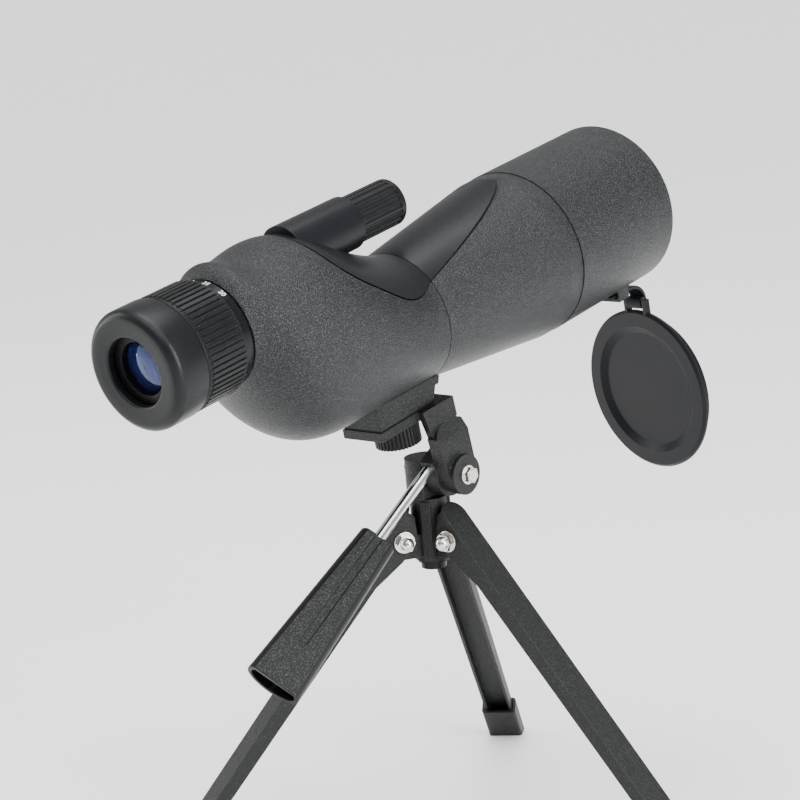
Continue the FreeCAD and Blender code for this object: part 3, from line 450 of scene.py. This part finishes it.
def softened_copy(node, name, width_mm, smooth=38.0):
    """Copy of a frame node with its edges rounded, shown in its place."""
    source = frame["nodes"][node]
    piece = source.copy()
    piece.data = source.data.copy()
    piece.parent = None
    piece.matrix_world = Matrix.Identity(4)
    for key in list(piece.keys()):
        del piece[key]
    bpy.context.collection.objects.link(piece)
    only(piece)
    if piece.data.has_custom_normals:
        bpy.ops.mesh.customdata_custom_splitnormals_clear()
    bpy.ops.object.mode_set(mode="EDIT")
    bpy.ops.mesh.select_all(action="SELECT")
    bpy.ops.mesh.remove_doubles(threshold=2e-6)
    bpy.ops.mesh.dissolve_limited(angle_limit=math.radians(1.0))
    bpy.ops.object.mode_set(mode="OBJECT")
    round_edges(piece, width_mm * MM, smooth=smooth)
    settle(piece, name, body_of_node[node], slot_of_node[node])
    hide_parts(node)
    return piece


def axis_frame(joint, backwards=False):
    """Place and turn that lay a piece made along +Z on a joint's axis."""
    axis = Vector(joint["axis"]) * (-1 if backwards else 1)
    turn = axis.to_track_quat("Z", "Y").to_matrix().to_4x4()
    return Matrix.Translation(Vector(joint["pos_m"])) @ turn


def turned_piece(profile, sides=96):
    """Closed ring turned about +Z from a closed outline of heights and radii."""
    bpy.ops.object.select_all(action="DESELECT")
    first_height, first_radius = profile[0]
    bpy.ops.mesh.primitive_circle_add(vertices=sides, radius=first_radius, location=(0, 0, first_height))
    piece = bpy.context.object
    bpy.ops.object.mode_set(mode="EDIT")
    bpy.ops.mesh.select_all(action="SELECT")
    for (low, inner), (high, outer) in zip(profile, profile[1:]):
        bpy.ops.mesh.extrude_region_move(TRANSFORM_OT_translate={"value": (0, 0, high - low)})
        grow = outer / inner
        bpy.ops.transform.resize(value=(grow, grow, 1), center_override=(0, 0, high))
    bpy.ops.mesh.select_all(action="DESELECT")
    bpy.ops.mesh.select_non_manifold()
    bpy.ops.mesh.bridge_edge_loops()
    bpy.ops.mesh.select_all(action="SELECT")
    bpy.ops.mesh.normals_make_consistent(inside=False)
    bpy.ops.object.mode_set(mode="OBJECT")
    bpy.ops.object.transform_apply(location=True)
    return piece


def arc(centre_height, centre_radius, size, start, end, steps=6):
    """Heights and radii round part of a circle; angles in degrees, 0 outward and 90 towards the eye."""
    points = []
    for step in range(steps + 1):
        angle = math.radians(start + (end - start) * step / steps)
        points.append((centre_height + size * math.sin(angle), centre_radius + size * math.cos(angle)))
    return points


# Pieces

def make_eyecup():
    """Moulded eyecup: fine bead at its front, crowned wall, rounded rim, flat face and stepped mouth."""
    corner = EYECUP_CORNER
    lip = EYECUP_LIP
    wall = EYECUP_RADIUS
    front = EYECUP_FRONT
    rim = EYECUP_BACK - FACE_DISH
    step = EYECUP_BACK - MOUTH_DEPTH
    back = step - MOUTH_STEP
    profile = [(front, EYECUP_BORE), (front, wall - 0.9 * MM)]
    profile += arc(front + BEAD_RADIUS, wall - 0.7 * MM, BEAD_RADIUS, -60, 60, 4)
    profile += [(front + 1.15 * MM, wall - 0.75 * MM), (front + 1.5 * MM, wall - 0.2 * MM),
                (front + 2.4 * MM, wall)]
    profile += arc(EYECUP_BACK - corner, wall - corner, corner, 0, 82, 8)
    profile += [(rim, EYE_OPENING + 4.0 * MM)]
    profile += arc(rim - lip, EYE_OPENING + lip, lip, 90, 180, 5)
    profile += [(step, EYE_OPENING), (step, EYE_OPENING + MOUTH_STEP), (back, EYE_OPENING + MOUTH_STEP),
                (back, EYECUP_BORE)]
    piece = turned_piece(profile, 128)
    piece.matrix_world = axis_frame(joints["zoom_turn"], backwards=True)
    settle(piece, "eyecup_rubber_sleeve", "scope", "eyecup_rubber")
    bpy.ops.object.shade_smooth_by_angle(angle=math.radians(35))
    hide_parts("eyecup")


def make_numbers():
    """Zoom numbers and their index lines, printed round the scale collar."""
    white = bpy.data.materials.new("printed_white")
    white.use_nodes = True
    tree = white.node_tree
    shader = tree.nodes["Principled BSDF"]
    wear = group_node(tree, HANDLING, {"Scale": 700.0})
    tree.links.new(blend_colours(tree, scaled(tree, wear.outputs["Polish"], 0.4), (0.85, 0.86, 0.86),
                                 (0.6, 0.62, 0.62)), shader.inputs["Base Color"])
    shader.inputs["Roughness"].default_value = 0.45
    joint = joints["zoom_turn"]
    forward = Vector(joint["axis"]).normalized()
    right = Vector((1, 0, 0))
    up = right.cross(forward)
    marks = []
    for index, number in enumerate(ZOOM_NUMBERS):
        angle = FIRST_NUMBER + index * NUMBER_STEP
        outward = up * math.cos(angle) + right * math.sin(angle)
        tangent = right * math.cos(angle) - up * math.sin(angle)
        spot = Vector(joint["pos_m"]) + forward * COLLAR_MIDDLE + outward * (COLLAR_RADIUS + PRINT_LIFT)
        turn = Matrix((tangent, forward, outward)).transposed().to_4x4()
        for body, size, shift in ((str(number), NUMBER_HEIGHT, NUMBER_SHIFT),
                                  ("I", INDEX_HEIGHT, INDEX_SHIFT)):
            bpy.ops.object.select_all(action="DESELECT")
            bpy.ops.object.text_add()
            mark = bpy.context.object
            mark.data.body = body
            mark.data.size = size
            mark.data.extrude = PRINT_DEPTH
            mark.data.align_x = "CENTER"
            mark.data.resolution_u = 3
            only(mark)
            bpy.ops.object.convert(target="MESH")
            mark = bpy.context.object
            mark.matrix_world = Matrix.Translation(spot + forward * shift) @ turn
            marks.append(mark)
    bpy.ops.object.select_all(action="DESELECT")
    for mark in marks:
        mark.select_set(True)
    bpy.context.view_layer.objects.active = marks[0]
    bpy.ops.object.transform_apply(location=True, rotation=True, scale=True)
    bpy.ops.object.join()
    piece = settle(bpy.context.object, "zoom_numbers", "zoom_control", "scale_plastic")
    piece.data.materials.clear()
    piece.data.materials.append(white)


def bezier_point(points, share):
    while len(points) > 1:
        points = [a.lerp(b, share) for a, b in zip(points, points[1:])]
    return points[0]


def make_strap():
    """Moulded strap: flat through its lug, bending down to a rolled eye round the cap's pin."""
    pin = Vector(joints["cap_swing"]["pos_m"])
    low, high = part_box("cap_strap")
    lug_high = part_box("strap_lug")[1]
    width = high.x - low.x
    forward = Vector(joints["sunshade_travel"]["axis"])
    start = Vector((pin.x, low.y + 0.3 * MM, high.z - STRAP_DROP))
    mouth = start + forward * (lug_high.y - low.y + 1.5 * MM)
    roll = STRAP_EYE
    landing = pin + Vector((0, roll, 0))
    guide = [mouth, mouth + forward * STRAP_REACH, landing + Vector((0, 0, STRAP_LANDING)), landing]
    line = [start] + [bezier_point(guide, step / BEND_STEPS) for step in range(BEND_STEPS + 1)]
    for step in range(1, EYE_STEPS + 1):
        angle = -EYE_STEP * step
        line.append(pin + Vector((0, roll * math.cos(angle), roll * math.sin(angle))))
    bpy.ops.object.select_all(action="DESELECT")
    bpy.ops.mesh.primitive_plane_add(size=width, location=line[0])
    piece = bpy.context.object
    bpy.ops.object.mode_set(mode="EDIT")
    bpy.ops.mesh.select_all(action="SELECT")
    bpy.ops.transform.resize(value=(1, 0, 1), center_override=line[0])
    bpy.ops.mesh.remove_doubles(threshold=1e-6)
    for before, after in zip(line, line[1:]):
        bpy.ops.mesh.extrude_region_move(TRANSFORM_OT_translate={"value": after - before})
    bpy.ops.object.mode_set(mode="OBJECT")
    solid = piece.modifiers.new("thickness", "SOLIDIFY")
    solid.thickness = STRAP_THICKNESS
    solid.offset = 0
    only(piece)
    bpy.ops.object.modifier_apply(modifier=solid.name)
    bpy.ops.object.mode_set(mode="EDIT")
    bpy.ops.mesh.select_all(action="SELECT")
    bpy.ops.mesh.normals_make_consistent(inside=False)
    bpy.ops.object.mode_set(mode="OBJECT")
    round_edges(piece, 0.35 * MM, 2, 60.0)
    settle(piece, "moulded_strap", "sunshade_slide", "cap_rubber")
    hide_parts("cap_strap")


def texture_grip_flat(piece):
    """Grained finish on the grip's flat side, whose faces share the normal of its largest face."""
    # Its second colour paints glints on the grain and paler edges, partly wear and partly painted highlight.
    grained = moulded_finish("grip_flat_grain", (0.006, 0.0066, 0.007), (0.05, 0.053, 0.052), 0.42,
                             grain=1900.0, depth=0.6, flecks=0.2, edge=0.3)
    piece.data.materials.append(grained)
    flat = max(piece.data.polygons, key=lambda face: face.area)
    outward = flat.normal.copy()
    for face in piece.data.polygons:
        if face.normal.dot(outward) > 0.999:
            face.material_index = 1


SOFTENED = {
    "tilt_bracket": ("bracket_casting", 0.5), "pan_post": ("post_casting", 0.6), "hub": ("hub_casting", 0.5),
    "scope_foot": ("foot_moulding", 0.5), "handle_grip": ("grip_moulding", 0.5),
    "leg_right": ("pressed_leg_right", 0.35), "leg_back": ("pressed_leg_back", 0.35),
    "leg_left": ("pressed_leg_left", 0.35), "tip_right": ("rubber_tip_right", 0.4),
    "tip_back": ("rubber_tip_back", 0.4), "tip_left": ("rubber_tip_left", 0.4),
    "strap_lug": ("lug_moulding", 0.35), "objective_cap": ("cap_moulding", 0.5, 24.0),
    "focus_knob": ("fluted_knob", 0.2), "screw_wheel": ("knurled_wheel", 0.15),
    "leg_nuts": ("dome_nuts", 0.15), "leg_washers": ("plated_washers", 0.12),
    "leg_bolts": ("plated_bolt_heads", 0.3), "tilt_nut": ("plated_tilt_nut", 0.2),
}


def dress_nodes():
    """Gives every frame node that stays the finish of its slot."""
    for node, thing in frame["nodes"].items():
        finish = FINISHES[slot_of_node[node]]
        if not thing.material_slots:
            thing.data.materials.append(finish)
        for place in thing.material_slots:
            place.material = finish


place_camera()
light_studio()
lay_floor()
GRAIN = moulded_grain_group()
HANDLING = handling_group()
EDGES = edge_group()
FINISHES = make_finishes()
dress_nodes()
make_eyecup()
make_numbers()
make_strap()
softened = {node: softened_copy(node, *look) for node, look in SOFTENED.items()}
texture_grip_flat(softened["handle_grip"])
